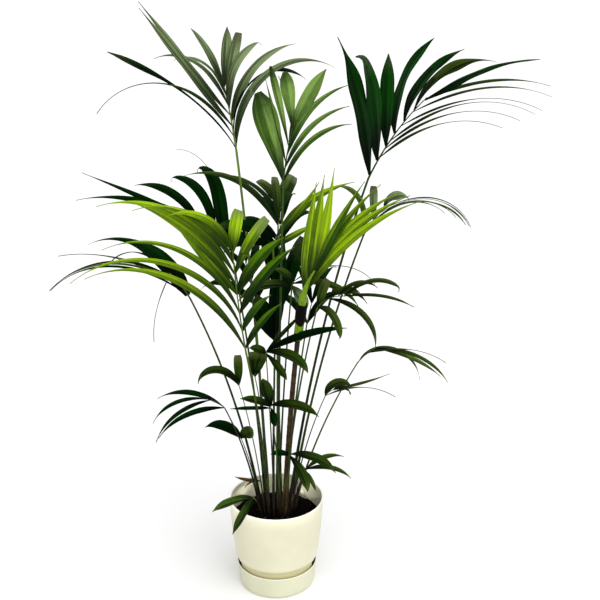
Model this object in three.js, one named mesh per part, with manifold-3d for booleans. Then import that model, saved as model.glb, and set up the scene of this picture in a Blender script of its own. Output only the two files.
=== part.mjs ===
// A kentia palm in its round pot: several seedlings planted together, with arching fronds,
// a cream plastic pot and the matching saucer. Millimetres, +Z up. The origin is the centre
// of the saucer's flat underside; the front is towards -Y.
import * as THREE from "three";
import { mergeVertices } from "three/addons/utils/BufferGeometryUtils.js";
import Module from "manifold-3d";

const wasm = await Module();
wasm.setup();
const { Manifold, Mesh } = wasm;

// Pot and saucer.
const SIDES = 32;
const WALL = 3;
const GAP = 0.3;
const RIM_RADIUS = 122.5;
const RIM_HEIGHT = 248;
const RIM_LIP = 5;
const SHOULDER_RADIUS = 109;
const SHOULDER_HEIGHT = 87;
const FOOT_RADIUS = 97;
const FOOT_TOP = 75;
const SAUCER_RADIUS = 105;
const SAUCER_FOOT = 101;
const SAUCER_HEIGHT = 62;
const SLOT_WIDTH = 96;
const SLOT_DEPTH = 4;
const SLOT_LOW = 24;
const SLOT_HIGH = 88;

// Potting soil.
const SOIL_LEVEL = 208;
const SOIL_FLAT = 74;
const SOIL_EDGE = 198;

// Stems and blades.
const STEM_SIDES = 5;
const STEM_STEPS = 4;
const STEM_TAPER = 0.7;
const RIB_SIDES = 4;
const RIB_STEPS = 3;
const RIB_TAPER = 0.55;
const RISE_SHARE = 0.55;
const LEAN_SHARE = 0.3;
const BLADE_THICK = 1.8;
const FACET_LENGTH = 110;
const FINEST = 0.2;
const CANE_SHOOT = "bright_mid";
const CANE_SHARE = 0.8;
const SHEATH_RADIUS = 11;
const CLEARANCE = 0.35;
const JOINT = 2;
const FIRST_PAIR = 0.04;
const LAST_PAIR = 0.97;

// Each frond: where its stalk stands in the soil, the neck where its blade begins, the end of
// its midrib, the stalk's radius and its usual leaflet width. Leaflets run in pairs from the
// neck to the end of the midrib. Each one is [length, compass heading, first rise, bend down
// over its length, share of the usual width, lateness of the bend]; angles are in degrees, and
// heading 0 is +X, 90 is +Y.
const FRONDS = {
  top_left: {
    foot: [-22, 12], neck: [-90, 60, 1141], tip: [-127, 190, 1285], stem: 3.4, wide: 25,
    sweep: [-0.55, 0.45],
    left: [[388, 180, 61, 38, 0.9, 0.5], [392, 190, 61, 117, 0.7], [345, 172, 52, 2, 1.0],
      [335, 176, 51, 0, 0.9], [240, 168, 70, 93, 0.8], [180, 165, 74, 100, 0.8],
      [162, 165, 72, 30, 1.1]],
    right: [[370, 10, 89, 120, 1.1], [286, 20, 91, 134, 0.8], [258, 15, 80, 74, 0.9],
      [198, 20, 95, 78, 0.9], [155, 20, 80, 6, 1.0], [142, 0, 84, -4, 1.1]],
  },
  top_mid: {
    foot: [4, -8], neck: [24, -70, 1089], tip: [46, -110, 1218], stem: 3.2, wide: 26,
    sweep: [0.5, -0.5],
    left: [[205, 180, 75, 2, 1.8], [178, 175, 79, 4, 1.2], [120, 180, 84, 20, 0.8]],
    right: [[212, -5, 69, 66, 0.8], [207, 0, 69, 58, 0.8], [215, 5, 74, 60, 0.9],
      [178, 10, 72, 22, 1.3], [125, 180, 86, 8, 1.2]],
  },
  top_right: {
    foot: [34, 14], neck: [232, 140, 1060], tip: [389, 280, 1245], stem: 3.8, wide: 27,
    sweep: [-0.5, 0.5], rightFrom: 0.22,
    left: [[345, 180, 86, 24, 1.4], [274, 180, 92, 34, 1.2, 2.5], [225, 90, 86, -2, 1.0],
      [256, 0, 91, 50, 1.1], [235, 10, 72, 50, 0.8], [266, 10, 66, 80, 0.8], [310, 0, 33, 32, 0.8]],
    right: [[326, -10, 43, 64, 0.4], [392, 0, 40, 68, 0.35], [374, 0, 31, 57, 0.4],
      [366, 0, 28, 50, 0.6], [335, 3, 23, 40, 0.6]],
  },
  left_dark: {
    foot: [-30, 30], neck: [-112, 190, 828], tip: [-209, 240, 924], stem: 2.8, wide: 24,
    sweep: [0.6, 0.3],
    left: [[350, 180, 82, 86, 0.4, 3.8], [395, 185, 40, 52, 0.8], [330, 180, 26, 4, 0.9]],
    right: [[280, 175, 79, 118, 1.5, 7], [228, 160, 84, 104, 1.1, 1.8], [215, 170, 62, 76, 1.0]],
  },
  mid_back: {
    foot: [2, 34], neck: [6, 140, 937], tip: [13, 240, 966], stem: 2.8, wide: 26,
    sweep: [0.5, 0.5],
    left: [[295, 180, 65, 84, 0.8], [210, 170, 60, 75, 0.8], [95, 165, 66, 40, 1.3]],
    right: [[130, 100, 82, 40, 1.0], [90, 40, 76, 30, 1.3]],
  },
  bright_left: {
    foot: [-18, -34], neck: [-62, -170, 715], tip: [-82, -248, 979], stem: 3.8, wide: 25,
    sweep: [-0.35, -0.3],
    left: [[428, 180, 61, 80, 0.9], [452, 180, 59, 97, 0.9], [372, 180, 64, 90, 0.9],
      [240, 175, 52, 4, 1.3], [355, 180, 62, 80, 1.0], [182, 188, 74, 96, 1.0]],
    right: [[140, 0, 66, 30, 0.9], [110, 5, 70, 40, 0.9], [205, -5, 60, 24, 1.2],
      [160, 0, 62, 40, 1.3], [128, 10, 68, 28, 1.0], [100, -60, 88, 40, 1.2]],
  },
  bright_mid: {
    foot: [22, -22], neck: [69, -140, 842], tip: [94, -180, 913], stem: 7.0, wide: 27,
    sweep: [-0.2, -0.5],
    left: [[260, 0, 86, 5, 1.3], [235, 0, 77, -6, 1.3]],
    right: [[350, -5, 58, 40, 0.9], [290, 5, 61, 36, 1.2], [228, 10, 66, 12, 1.0]],
  },
  young_mid: {
    foot: [12, 14], neck: [-2, -20, 925], tip: [6, -20, 952], stem: 2.6, wide: 22,
    sweep: [-0.3, 0.3],
    left: [[120, 185, 25, 60, 0.8], [155, 180, 44, 72, 1.1], [165, 0, 48, -10, 0.6]],
    right: [[110, 0, 30, 0, 0.8], [232, 0, 55, 45, 0.9]],
  },
  right_grey: {
    foot: [38, -9], neck: [219, 90, 925], tip: [280, 170, 979], stem: 3.4, wide: 22,
    sweep: [-0.1, -0.4],
    left: [[165, 180, 96, 105, 0.9, 1.8], [85, 90, 82, 20, 1.2], [85, 5, 75, 130, 0.9]],
    right: [[240, 0, 60, 104, 0.9], [262, -5, 40, 98, 0.7], [265, 5, 28, 96, 0.6]],
  },
  left_low: {
    foot: [-38, -7], neck: [-193, -110, 827], tip: [-228, -170, 905], stem: 2.6, wide: 24,
    sweep: [-0.5, 0.2], rightFrom: 0.1,
    left: [[355, 180, 40, 86, 0.7], [330, 190, 39, 86, 0.7], [290, 195, 36, 78, 0.6],
      [160, 200, -52, 38, 0.2]],
    right: [[295, 170, 66, 95, 1.5], [296, 172, 28, 40, 0.6], [180, 165, 50, 110, 0.6]],
  },
  right_low: {
    foot: [45, -18], neck: [208, 40, 606], tip: [254, 50, 644], stem: 2.2, wide: 20,
    sweep: [-0.4, 0.4], leftFrom: 0.6, rightFrom: 0.6,
    left: [[215, 5, 12, 50, 0.4], [220, -2, 0, 60, 0.9]],
    right: [[165, -14, 12, 95, 0.8], [184, -10, -6, 36, 0.9]],
  },
  right_small: {
    foot: [38, -31], neck: [123, -70, 562], tip: [142, -90, 588], stem: 1.9, wide: 18,
    sweep: [-0.4, 0.3],
    left: [[92, 5, 80, 150, 1.3], [142, 0, 12, -12, 0.6]],
    right: [[180, -5, 28, 62, 0.4], [60, -10, 50, 150, 0.9]],
  },
  right_olive: {
    foot: [18, -46], neck: [101, -130, 809], tip: [162, -190, 858], stem: 2.6, wide: 20,
    sweep: [-0.3, -0.6],
    left: [[70, 20, 78, 20, 1.5], [120, -20, 50, 110, 0.9], [60, 0, 66, 110, 0.9],
      [150, 5, 45, 95, 1.0]],
    right: [[132, -60, 20, 110, 1.2], [176, -10, -4, 92, 0.9, 1.2], [162, 0, 8, 40, 0.8]],
  },
  mid_hub: {
    foot: [6, -38], neck: [43, -95, 852], tip: [46, -100, 864], stem: 2.4, wide: 20,
    sweep: [-0.3, -0.3],
    left: [[140, 182, 14, 70, 1.1], [60, 150, 50, 60, 0.9]],
    right: [[65, -30, -45, 20, 1.4], [175, -5, 14, 75, 0.8], [215, 5, 36, 90, 0.35]],
  },
  centre_dark: {
    foot: [-8, -16], neck: [0, -20, 684], tip: [16, 0, 812], stem: 3.0, wide: 26,
    sweep: [0.2, -0.1],
    left: [[125, 175, 66, -8, 1.4], [110, 160, 80, 20, 1.3]],
    right: [[150, 70, 80, 12, 1.2], [200, 5, 86, 18, 1.6], [130, 10, 72, 40, 1.0]],
  },
  low_left: {
    foot: [-42, -22], neck: [-121, -90, 539], tip: [-152, -120, 575], stem: 2.1, wide: 18,
    sweep: [-0.5, 0.3],
    left: [[185, 190, 4, 62, 0.8], [175, 196, -6, 66, 0.6]],
    right: [[178, 175, 37, 71, 0.9], [167, 182, 10, 76, 0.7]],
  },
  low_left_pair: {
    foot: [-38, -33], neck: [-85, -60, 443], tip: [-88, -60, 450], stem: 1.7, wide: 20,
    sweep: [-0.3, 0.0],
    left: [[108, 180, 52, 92, 1.3]],
    right: [[40, 20, 60, 100, 1.6]],
  },
  young_a: {
    foot: [-28, -42], neck: [-87, -70, 591], tip: [-88, -70, 600], stem: 1.7, wide: 20,
    sweep: [-0.3, 0],
    left: [[138, 180, 66, 150, 1.2]],
    right: [[75, 100, 86, 20, 1.6]],
  },
  young_b: {
    foot: [-18, -56], neck: [-47, -85, 620], tip: [-46, -85, 630], stem: 1.7, wide: 20,
    sweep: [0, 0],
    left: [[62, 90, 86, 10, 2.0]],
    right: [[66, 20, 76, 20, 1.8]],
  },
  young_c: {
    foot: [-4, -56], neck: [-19, -100, 685], tip: [-17, -102, 694], stem: 1.7, wide: 20,
    sweep: [-0.3, -0.4],
    left: [[45, 180, 45, 60, 1.0], [125, 10, 46, 4, 0.5]],
    right: [[80, -30, -35, 20, 1.2], [122, -10, 12, 85, 1.6], [200, 5, 28, 30, 0.9]],
  },
  young_d: {
    foot: [14, -58], neck: [-9, -90, 539], tip: [-8, -92, 548], stem: 1.7, wide: 20,
    sweep: [-0.4, -0.5],
    left: [[100, 185, 2, 5, 0.6], [80, 178, 33, 42, 1.0], [72, 170, 74, 2, 1.9]],
    right: [[45, -60, -60, 0, 1.4], [126, 0, 12, 62, 1.3]],
  },
  pot_left: {
    foot: [-34, -54], neck: [-53, -105, 301], tip: [-57, -108, 304], stem: 1.7, wide: 20,
    sweep: [0, 0],
    left: [[112, 188, 2, 42, 1.5]],
    right: [[104, 215, -45, 15, 1.5]],
  },
  pot_right: {
    foot: [30, -42], neck: [35, -60, 395], tip: [40, -62, 400], stem: 1.7, wide: 20,
    sweep: [0, 0],
    left: [[50, 180, 30, 60, 0.8]],
    right: [[105, -40, -35, 50, 1.5], [130, 0, 1, 60, 1.3]],
  },
  pot_right_b: {
    foot: [50, 0], neck: [76, -20, 330], tip: [78, -20, 336], stem: 1.7, wide: 18,
    sweep: [0.4, -0.3],
    left: [[115, 0, 40, 66, 0.9], [70, 10, 30, 50, 0.5]],
    right: [[60, -30, -50, 20, 0.8], [125, -5, 20, 70, 0.9]],
  },
  pot_small: {
    foot: [-35, 10], neck: [-40, 0, 290], tip: [-42, 0, 296], stem: 1.7, wide: 16,
    sweep: [0, 0],
    left: [[70, 180, 2, -20, 0.9]],
    right: [[50, 200, 20, 80, 0.5]],
  },
  back_left: {
    foot: [-26, 44], neck: [-60, 210, 700], tip: [-90, 330, 790], stem: 2.6, wide: 24,
    sweep: [0, 0],
    left: [[230, 142, 38, 90, 1], [182, 125, 52, 82, 1], [170, 112, 62, 58, 1]],
    right: [[230, 70, 45, 85, 1], [210, 85, 50, 75, 1], [160, 95, 66, 50, 1]],
  },
  back_right: {
    foot: [26, 44], neck: [80, 230, 640], tip: [110, 350, 720], stem: 2.6, wide: 24,
    sweep: [0, 0],
    left: [[220, 120, 40, 90, 1], [210, 105, 50, 80, 1], [170, 95, 60, 60, 1]],
    right: [[210, 55, 45, 85, 1], [200, 65, 50, 75, 1], [160, 80, 66, 50, 1]],
  },
  back_mid: {
    foot: [0, 48], neck: [6, 260, 860], tip: [10, 400, 920], stem: 2.6, wide: 24,
    sweep: [0, 0],
    left: [[230, 130, 40, 90, 1], [170, 115, 50, 80, 1], [110, 105, 60, 60, 1]],
    right: [[230, 60, 45, 85, 1], [180, 75, 50, 75, 1], [110, 85, 66, 50, 1]],
  },
};

// Fronds too small to have a stalk of their own among the named parts.
const SMALL = [
  "young_mid", "mid_hub",
  "low_left_pair", "young_a", "young_b", "young_c", "young_d",
  "pot_left", "pot_right", "pot_right_b", "pot_small",
];

const COLOURS = {
  cream: 0xeceacb,
  soil: 0x1a120c,
  cane: 0x5a3c1e,
  stalk: 0x4f6a26,
  leaf: 0x2f5a1c,
  bright: 0x7fa81e,
};

const UP = new THREE.Vector3(0, 0, 1);
const AWAY = new THREE.Vector3(0, 1, 0);
const RIGHT = new THREE.Vector3(1, 0, 0);
const SWEEP_FROM = new THREE.Vector3(62, -2157, 1488);
const FACE_WAY = new THREE.Vector3(0, -0.94, 0.34);
const rad = THREE.MathUtils.degToRad;

function middleOf(points) {
  return points.reduce((sum, p) => sum.add(p), new THREE.Vector3()).divideScalar(points.length);
}

// A closed solid through rings of equal point count, its two ends covered by flat fans. Each
// side panel is folded outwards, so that a thin twisted blade keeps its thickness.
function loft(rings) {
  const count = rings[0].length;
  const points = rings.flat();
  const faces = [];
  for (let i = 0; i + 1 < rings.length; i += 1) {
    const core = middleOf([...rings[i], ...rings[i + 1]]);
    for (let j = 0; j < count; j += 1) {
      const a = i * count + j;
      const b = i * count + ((j + 1) % count);
      const [c, d] = [a + count, b + count];
      const out = middleOf([a, b, c, d].map((k) => points[k])).sub(core);
      const fold = points[a].clone().add(points[d]).sub(points[b]).sub(points[c]);
      if (fold.dot(out) >= 0) {
        faces.push([a, b, d], [a, d, c]);
      } else {
        faces.push([a, b, c], [b, d, c]);
      }
    }
  }
  const last = (rings.length - 1) * count;
  for (let j = 1; j + 1 < count; j += 1) {
    faces.push([0, j + 1, j], [last, last + j, last + j + 1]);
  }
  const solid = (list) => Manifold.ofMesh(new Mesh({
    numProp: 3,
    vertProperties: new Float32Array(points.flatMap((p) => p.toArray())),
    triVerts: new Uint32Array(list.flat()),
  }));
  const made = solid(faces);
  return made.volume() > 0 ? made : solid(faces.map(([a, b, c]) => [a, c, b]));
}

// A round stalk along a curve, its radius falling evenly. Its first end can be cut square to
// another direction than the curve's own, to sit flat on what it stands on.
function tube(curve, sides, steps, first, last, seat = curve.getTangent(0)) {
  const chord = curve.getPoint(1).sub(curve.getPoint(0)).normalize();
  const guide = Math.abs(chord.dot(AWAY)) > 0.9 ? RIGHT : AWAY;
  const rings = [];
  for (let i = 0; i <= steps; i += 1) {
    const along = i === 0 ? seat : curve.getTangent(i / steps);
    const across = new THREE.Vector3().crossVectors(along, guide).normalize();
    const other = new THREE.Vector3().crossVectors(along, across);
    const radius = first + (last - first) * (i / steps);
    const centre = curve.getPoint(i / steps);
    rings.push(Array.from({ length: sides }, (_, j) => {
      const turn = (2 * Math.PI * j) / sides;
      return centre.clone()
        .addScaledVector(across, radius * Math.cos(turn))
        .addScaledVector(other, radius * Math.sin(turn));
    }));
  }
  return loft(rings);
}

// The part of a curve between two shares of it.
function stretch(curve, from, to) {
  const piece = new THREE.Curve();
  piece.getPoint = (t) => curve.getPoint(from + (to - from) * t);
  return piece;
}

// A stalk rises steeply from the soil and leans out towards its neck. The aside shifts its middle.
function stalkCurve(frond, aside) {
  const foot = new THREE.Vector3(frond.foot[0], frond.foot[1], SOIL_LEVEL + GAP);
  const neck = new THREE.Vector3(...frond.neck);
  const middle = new THREE.Vector3(
    foot.x + LEAN_SHARE * (neck.x - foot.x) + aside[0],
    foot.y + LEAN_SHARE * (neck.y - foot.y) + aside[1],
    foot.z + RISE_SHARE * (neck.z - foot.z),
  );
  return new THREE.QuadraticBezierCurve3(foot, middle, neck);
}

// The midrib carries on in the stalk's direction and then turns towards its end.
function ribCurve(frond, stalk, gap) {
  const neck = new THREE.Vector3(...frond.neck);
  const end = new THREE.Vector3(...frond.tip);
  const ahead = stalk.getTangent(1);
  const start = neck.clone().addScaledVector(ahead, gap);
  const length = neck.distanceTo(end);
  const middle = neck.clone().add(end).multiplyScalar(0.2)
    .add(neck.clone().addScaledVector(ahead, length / 2).multiplyScalar(0.6));
  return new THREE.QuadraticBezierCurve3(start, middle, end);
}

// Point at a share of the faceted midrib.
function onRib(rib, share) {
  const facet = Math.min(RIB_STEPS - 1, Math.floor(share * RIB_STEPS));
  return rib.getPoint(facet / RIB_STEPS)
    .lerp(rib.getPoint((facet + 1) / RIB_STEPS), share * RIB_STEPS - facet);
}

// Share of the full width along a leaflet: narrow at its root, fullest before the middle.
function taper(s) {
  const root = 0.14 + 0.86 * Math.min(1, s / 0.35);
  const end = s < 0.5 ? 1 : 1 - ((s - 0.5) / 0.5) ** 1.6;
  return root * end;
}

// Middle line of a leaflet: it leaves its root at its heading and rise and bends down. The
// sweep then slides it back or forward by a share of its length.
function leafletLine(root, row, turn, sweep, steps) {
  const [length, heading, rise, bend, , late = 1.3] = row;
  const compass = rad(heading + turn);
  const line = [root.clone()];
  for (let i = 0; i < steps; i += 1) {
    const lift = rad(rise - bend * ((i + 0.5) / steps) ** late);
    const way = new THREE.Vector3(
      Math.cos(lift) * Math.cos(compass),
      Math.cos(lift) * Math.sin(compass),
      Math.sin(lift),
    );
    line.push(line[i].clone().addScaledVector(way, length / steps));
  }
  return line.map((point, i) => {
    const back = point.clone().sub(SWEEP_FROM).normalize();
    return point.clone().addScaledVector(back, (sweep * length * i) / steps);
  });
}

// A thin leaflet that arches over. Near its root it lies in the plane of the frond, and it
// turns to lie level as it bends down.
function leaflet(root, row, wide, ribWay, sweep, turn, grow) {
  const [length, , , bend, share] = row;
  const steps = Math.max(2, Math.min(4, Math.ceil(length / FACET_LENGTH)));
  const level = 0.6 * Math.min(1, Math.abs(bend) / 80);
  const line = leafletLine(root, row, turn, sweep, steps);
  const ways = line.map((_, i) => line[Math.min(i + 1, steps)].clone()
    .sub(line[Math.max(i - 1, 0)]).normalize());
  const outward = new THREE.Vector3().crossVectors(ways[0], ribWay);
  outward.multiplyScalar(Math.sign(outward.dot(FACE_WAY)) || 1);
  const face = outward.addScaledVector(FACE_WAY, 0.4).normalize();
  return loft(line.map((point, i) => {
    const s = i / steps;
    const over = UP.clone().addScaledVector(ways[i], -ways[i].z).normalize();
    const normal = face.clone().multiplyScalar(1 - level * s).addScaledVector(over, level * s);
    const side = new THREE.Vector3().crossVectors(ways[i], normal).normalize();
    const back = new THREE.Vector3().crossVectors(ways[i], side).normalize();
    const half = Math.max(0.6, (wide * share * taper(s)) / 2) + grow;
    const thick = BLADE_THICK * (1 - 0.6 * s);
    return [
      point.clone().addScaledVector(side, -half).addScaledVector(back, -grow),
      point.clone().addScaledVector(side, half).addScaledVector(back, -grow),
      point.clone().addScaledVector(back, thick + grow),
    ];
  }));
}

function boxesMeet(a, b) {
  return [0, 1, 2].every((k) => a.min[k] <= b.max[k] && b.min[k] <= a.max[k]);
}

const taken = [];

// Whether a solid is clear of everything already placed, apart from one part.
function isClear(solid, except) {
  const box = solid.boundingBox();
  return taken.every((other) => other.part === except || !boxesMeet(box, other.box)
    || Manifold.intersection(solid, other.solid).isEmpty());
}

function take(part, solid) {
  taken.push({ part, solid, box: solid.boundingBox() });
  return solid;
}

const group = new THREE.Group();

// A solid with the pockets that crossing leaflets close in filled up.
function filled(solid) {
  return Manifold.compose(solid.decompose().filter((shell) => shell.volume() > 0));
}

function addNode(name, solid, colour, roughness) {
  const data = filled(solid.simplify(FINEST)).getMesh();
  const geometry = new THREE.BufferGeometry();
  const points = [];
  for (let i = 0; i < data.numVert; i += 1) {
    for (let k = 0; k < 3; k += 1) {
      points.push(data.vertProperties[i * data.numProp + k]);
    }
  }
  geometry.setAttribute("position", new THREE.Float32BufferAttribute(points, 3));
  geometry.setIndex(Array.from(data.triVerts));
  const material = new THREE.MeshStandardMaterial({ color: colour, roughness });
  const mesh = new THREE.Mesh(geometry, material);
  mesh.name = name;
  group.add(mesh);
}

// A body of revolution from [radius, height] pairs.
function turned(profile) {
  const lathe = new THREE.LatheGeometry(profile.map(([r, z]) => new THREE.Vector2(r, z)), SIDES);
  lathe.deleteAttribute("normal");
  lathe.deleteAttribute("uv");
  const merged = mergeVertices(lathe, 1e-3).rotateX(Math.PI / 2);
  const build = (flip) => {
    const index = Array.from(merged.index.array);
    const faces = [];
    for (let i = 0; i < index.length; i += 3) {
      const [a, b, c] = index.slice(i, i + 3);
      if (a !== b && b !== c && c !== a) {
        faces.push(a, flip ? c : b, flip ? b : c);
      }
    }
    return Manifold.ofMesh(new Mesh({
      numProp: 3,
      vertProperties: new Float32Array(merged.attributes.position.array),
      triVerts: new Uint32Array(faces),
    }));
  };
  const made = build(false);
  return made.volume() > 0 ? made : build(true);
}

// Saucer: a shallow cup with a thin rounded rim, standing flat.
const saucerInside = SAUCER_FOOT - WALL - 1;
addNode("saucer", turned([
  [0, 0], [SAUCER_FOOT - 7, 0], [SAUCER_FOOT - 1.5, 4], [SAUCER_FOOT + 0.6, 12],
  [SAUCER_RADIUS, SAUCER_HEIGHT - 1], [SAUCER_RADIUS - 1, SAUCER_HEIGHT],
  [SAUCER_RADIUS - 2, SAUCER_HEIGHT - 1], [saucerInside + 1.6, 14], [saucerInside, WALL], [0, WALL],
]), COLOURS.cream, 0.5);

// Pot: a tapered wall with a narrower foot that fits inside the saucer, and a wide flat slot down
// each side of the foot through which the water in the saucer can be reached.
const potFloor = WALL + GAP;
const slotWall = FOOT_RADIUS - SLOT_DEPTH;
const wholePot = turned([
  [0, potFloor], [FOOT_RADIUS - 4, potFloor], [FOOT_RADIUS - 1, potFloor + 5],
  [FOOT_RADIUS + 1, 14.3], [FOOT_RADIUS + 3.6, FOOT_TOP],
  [SHOULDER_RADIUS - 4.6, FOOT_TOP + 4.5], [SHOULDER_RADIUS - 1, FOOT_TOP + 7.5],
  [SHOULDER_RADIUS + 0.3, SHOULDER_HEIGHT], [RIM_RADIUS - 2.4, 186],
  [RIM_RADIUS - 0.8, RIM_HEIGHT - RIM_LIP], [RIM_RADIUS, RIM_HEIGHT - 1.5],
  [RIM_RADIUS - 0.8, RIM_HEIGHT], [RIM_RADIUS - 3.2, RIM_HEIGHT],
  [RIM_RADIUS - 4.2, RIM_HEIGHT - 2],
  [RIM_RADIUS - 5.4, 186], [SHOULDER_RADIUS - 2.4, SLOT_HIGH + 11],
  [slotWall - 5.5, SLOT_HIGH + 3], [slotWall - 6, potFloor + WALL], [0, potFloor + WALL],
]);
const slotHeight = SLOT_HIGH - SLOT_LOW;
const slotShapes = [1, -1].map((sign) => {
  const shape = new THREE.BoxGeometry(20, SLOT_WIDTH, slotHeight);
  shape.deleteAttribute("normal");
  shape.deleteAttribute("uv");
  const merged = mergeVertices(shape.translate(
    sign * (slotWall + 10), 0, SLOT_LOW + slotHeight / 2,
  ));
  return Manifold.ofMesh(new Mesh({
    numProp: 3,
    vertProperties: new Float32Array(merged.attributes.position.array),
    triVerts: new Uint32Array(merged.index.array),
  }));
});
const pot = take("pot", Manifold.difference([wholePot, ...slotShapes]));
addNode("pot", pot, COLOURS.cream, 0.5);

// Soil: fills the pot to a little below the rim, level round the stems and lower at the wall.
const soilWall = RIM_RADIUS - 5.4 - GAP - 0.3;
addNode("soil", take("soil", turned([
  [0, potFloor + WALL + GAP], [slotWall - 6.5, potFloor + WALL + GAP],
  [slotWall - 6.2, SLOT_HIGH + 5], [SHOULDER_RADIUS - 3.1, SLOT_HIGH + 12],
  [soilWall - 0.2, 184], [soilWall - 0.6, SOIL_EDGE],
  [94, (SOIL_EDGE + SOIL_LEVEL) / 2 + 1], [SOIL_FLAT, SOIL_LEVEL], [0, SOIL_LEVEL],
])), COLOURS.soil, 0.95);

// A frond's stalk as [node, solid, colour, roughness] rows. The newest shoot grows out of the woody
// cane through a sheath.
function stalkParts(name, frond, curve, grow) {
  const thin = frond.stem * STEM_TAPER;
  if (name !== CANE_SHOOT) {
    const node = SMALL.includes(name) ? name : `${name}_stalk`;
    const solid = tube(curve, STEM_SIDES, STEM_STEPS, frond.stem + grow, thin + grow, UP);
    return [[node, solid, COLOURS.stalk, 0.6]];
  }
  const lower = stretch(curve, 0, CANE_SHARE);
  const upper = stretch(curve, CANE_SHARE + 0.002, 1);
  const caneEnd = frond.stem * 0.85;
  return [
    ["cane", tube(lower, STEM_SIDES, STEM_STEPS, frond.stem + grow, caneEnd + grow, UP),
      COLOURS.cane, 0.8],
    [`${name}_sheath`, tube(upper, STEM_SIDES, RIB_STEPS, SHEATH_RADIUS + grow, thin + grow),
      COLOURS.stalk, 0.6],
  ];
}

// Stalks and midribs. A stalk that would run into another bows a little to one side.
const ASIDES = [[0, 0]];
for (const step of [6, 12, 18, 24, 32, 40, 50]) {
  ASIDES.push([0, step], [0, -step], [step, 0], [-step, 0]);
  ASIDES.push([step, step], [-step, -step], [step, -step], [-step, step]);
}
const frames = {};
for (const [name, frond] of Object.entries(FRONDS)) {
  const thin = frond.stem * STEM_TAPER;
  const make = (aside, grow) => {
    const stalk = stalkCurve(frond, aside);
    const rib = ribCurve(frond, stalk, SMALL.includes(name) ? -JOINT : GAP);
    return {
      stalk,
      rib,
      stalks: stalkParts(name, frond, stalk, grow),
      ribSolid: tube(rib, RIB_SIDES, RIB_STEPS, thin + grow, thin * RIB_TAPER + grow, stalk.getTangent(1)),
    };
  };
  const aside = ASIDES.find((option) => {
    const wide = make(option, CLEARANCE);
    return wide.stalks.every(([, solid]) => isClear(solid.translate([0, 0, CLEARANCE]), "none"))
      && isClear(wide.ribSolid, "none");
  });
  if (!aside) {
    throw new Error(`no clear way for the stalk of ${name}`);
  }
  frames[name] = make(aside, 0);
  frames[name].stalks.forEach(([node, solid]) => take(node, solid));
  take(name, frames[name].ribSolid);
}

// Leaflets. One that would run into another part turns aside by the least that clears it.
const TURNS = [0];
for (let turn = 3; turn <= 42; turn += 3) {
  TURNS.push(turn, -turn);
}
for (const [name, frond] of Object.entries(FRONDS)) {
  const { rib, stalks, ribSolid } = frames[name];
  const blades = [ribSolid];
  for (const side of ["left", "right"]) {
    const rows = frond[side];
    const from = (side === "left" ? frond.leftFrom : frond.rightFrom) ?? FIRST_PAIR;
    const sweep = frond.sweep[side === "left" ? 0 : 1];
    rows.forEach((row, i) => {
      const share = rows.length === 1 ? from : from + (LAST_PAIR - from) * (i / (rows.length - 1));
      const make = (turn, grow) => leaflet(
        onRib(rib, share), row, frond.wide, rib.getTangent(share), sweep, turn, grow,
      );
      const turn = TURNS.find((option) => isClear(make(option, CLEARANCE), name));
      if (turn === undefined) {
        throw new Error(`no clear way for ${side} leaflet ${i} of ${name}`);
      }
      blades.push(make(turn, 0));
    });
  }
  const blade = Manifold.union(blades);
  const colour = name.startsWith("bright") || name === "young_mid" ? COLOURS.bright : COLOURS.leaf;
  blades.slice(1).forEach((solid) => take(name, solid));
  if (SMALL.includes(name)) {
    addNode(name, Manifold.union([stalks[0][1], blade]), colour, 0.55);
  } else {
    stalks.forEach((parts) => addNode(...parts));
    addNode(`${name}_blade`, blade, colour, 0.5);
  }
}

export default group;
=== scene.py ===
# A kentia palm in its cream pot: every visible surface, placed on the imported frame.
# Metres, +Z up, the front towards -Y. Only the table of fronds is in millimetres.
import math
import random
from itertools import combinations
from typing import NamedTuple

import bmesh
import bpy
from mathutils import Euler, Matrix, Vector, noise


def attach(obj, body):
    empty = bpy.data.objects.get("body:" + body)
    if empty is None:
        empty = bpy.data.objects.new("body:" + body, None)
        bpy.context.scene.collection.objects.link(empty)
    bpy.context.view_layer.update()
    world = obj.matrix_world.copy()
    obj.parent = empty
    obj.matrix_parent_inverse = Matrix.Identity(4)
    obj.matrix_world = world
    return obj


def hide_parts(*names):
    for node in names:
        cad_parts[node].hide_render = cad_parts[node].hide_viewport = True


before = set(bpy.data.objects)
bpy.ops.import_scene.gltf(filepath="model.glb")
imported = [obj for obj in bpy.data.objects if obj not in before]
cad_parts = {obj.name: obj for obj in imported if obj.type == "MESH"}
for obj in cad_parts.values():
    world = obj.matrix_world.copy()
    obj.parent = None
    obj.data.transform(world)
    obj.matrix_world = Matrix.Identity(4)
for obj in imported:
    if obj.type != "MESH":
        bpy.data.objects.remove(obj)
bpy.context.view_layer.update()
rng = random.Random(11)

# Camera.
CAMERA_AT = (0.0617, -2.157, 1.488)
CAMERA_DOWN = 18.0
CAMERA_LENS = 55.68
SENSOR = 36.0

# Pot and saucer.
TURN_STEPS = 192
RIM_RADIUS = 0.1225
RIM_HEIGHT = 0.248
SHOULDER_RADIUS = 0.109
SHOULDER_HEIGHT = 0.087
BELLY_HEIGHT = 0.186
FOOT_RADIUS = 0.097
FOOT_TOP = 0.075
FLOOR_RADIUS = 0.06
POT_FLOOR = 0.0033
WALL = 0.003
SAUCER_RADIUS = 0.105
SAUCER_FOOT = 0.101
SAUCER_HEIGHT = 0.062
SLOT_WIDTH = 0.096
SLOT_BACK = 0.093
SLOT_DEEP = 0.020
SLOT_LOW = 0.024
SLOT_HIGH = 0.088
SLOT_EASE = 0.002

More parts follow.
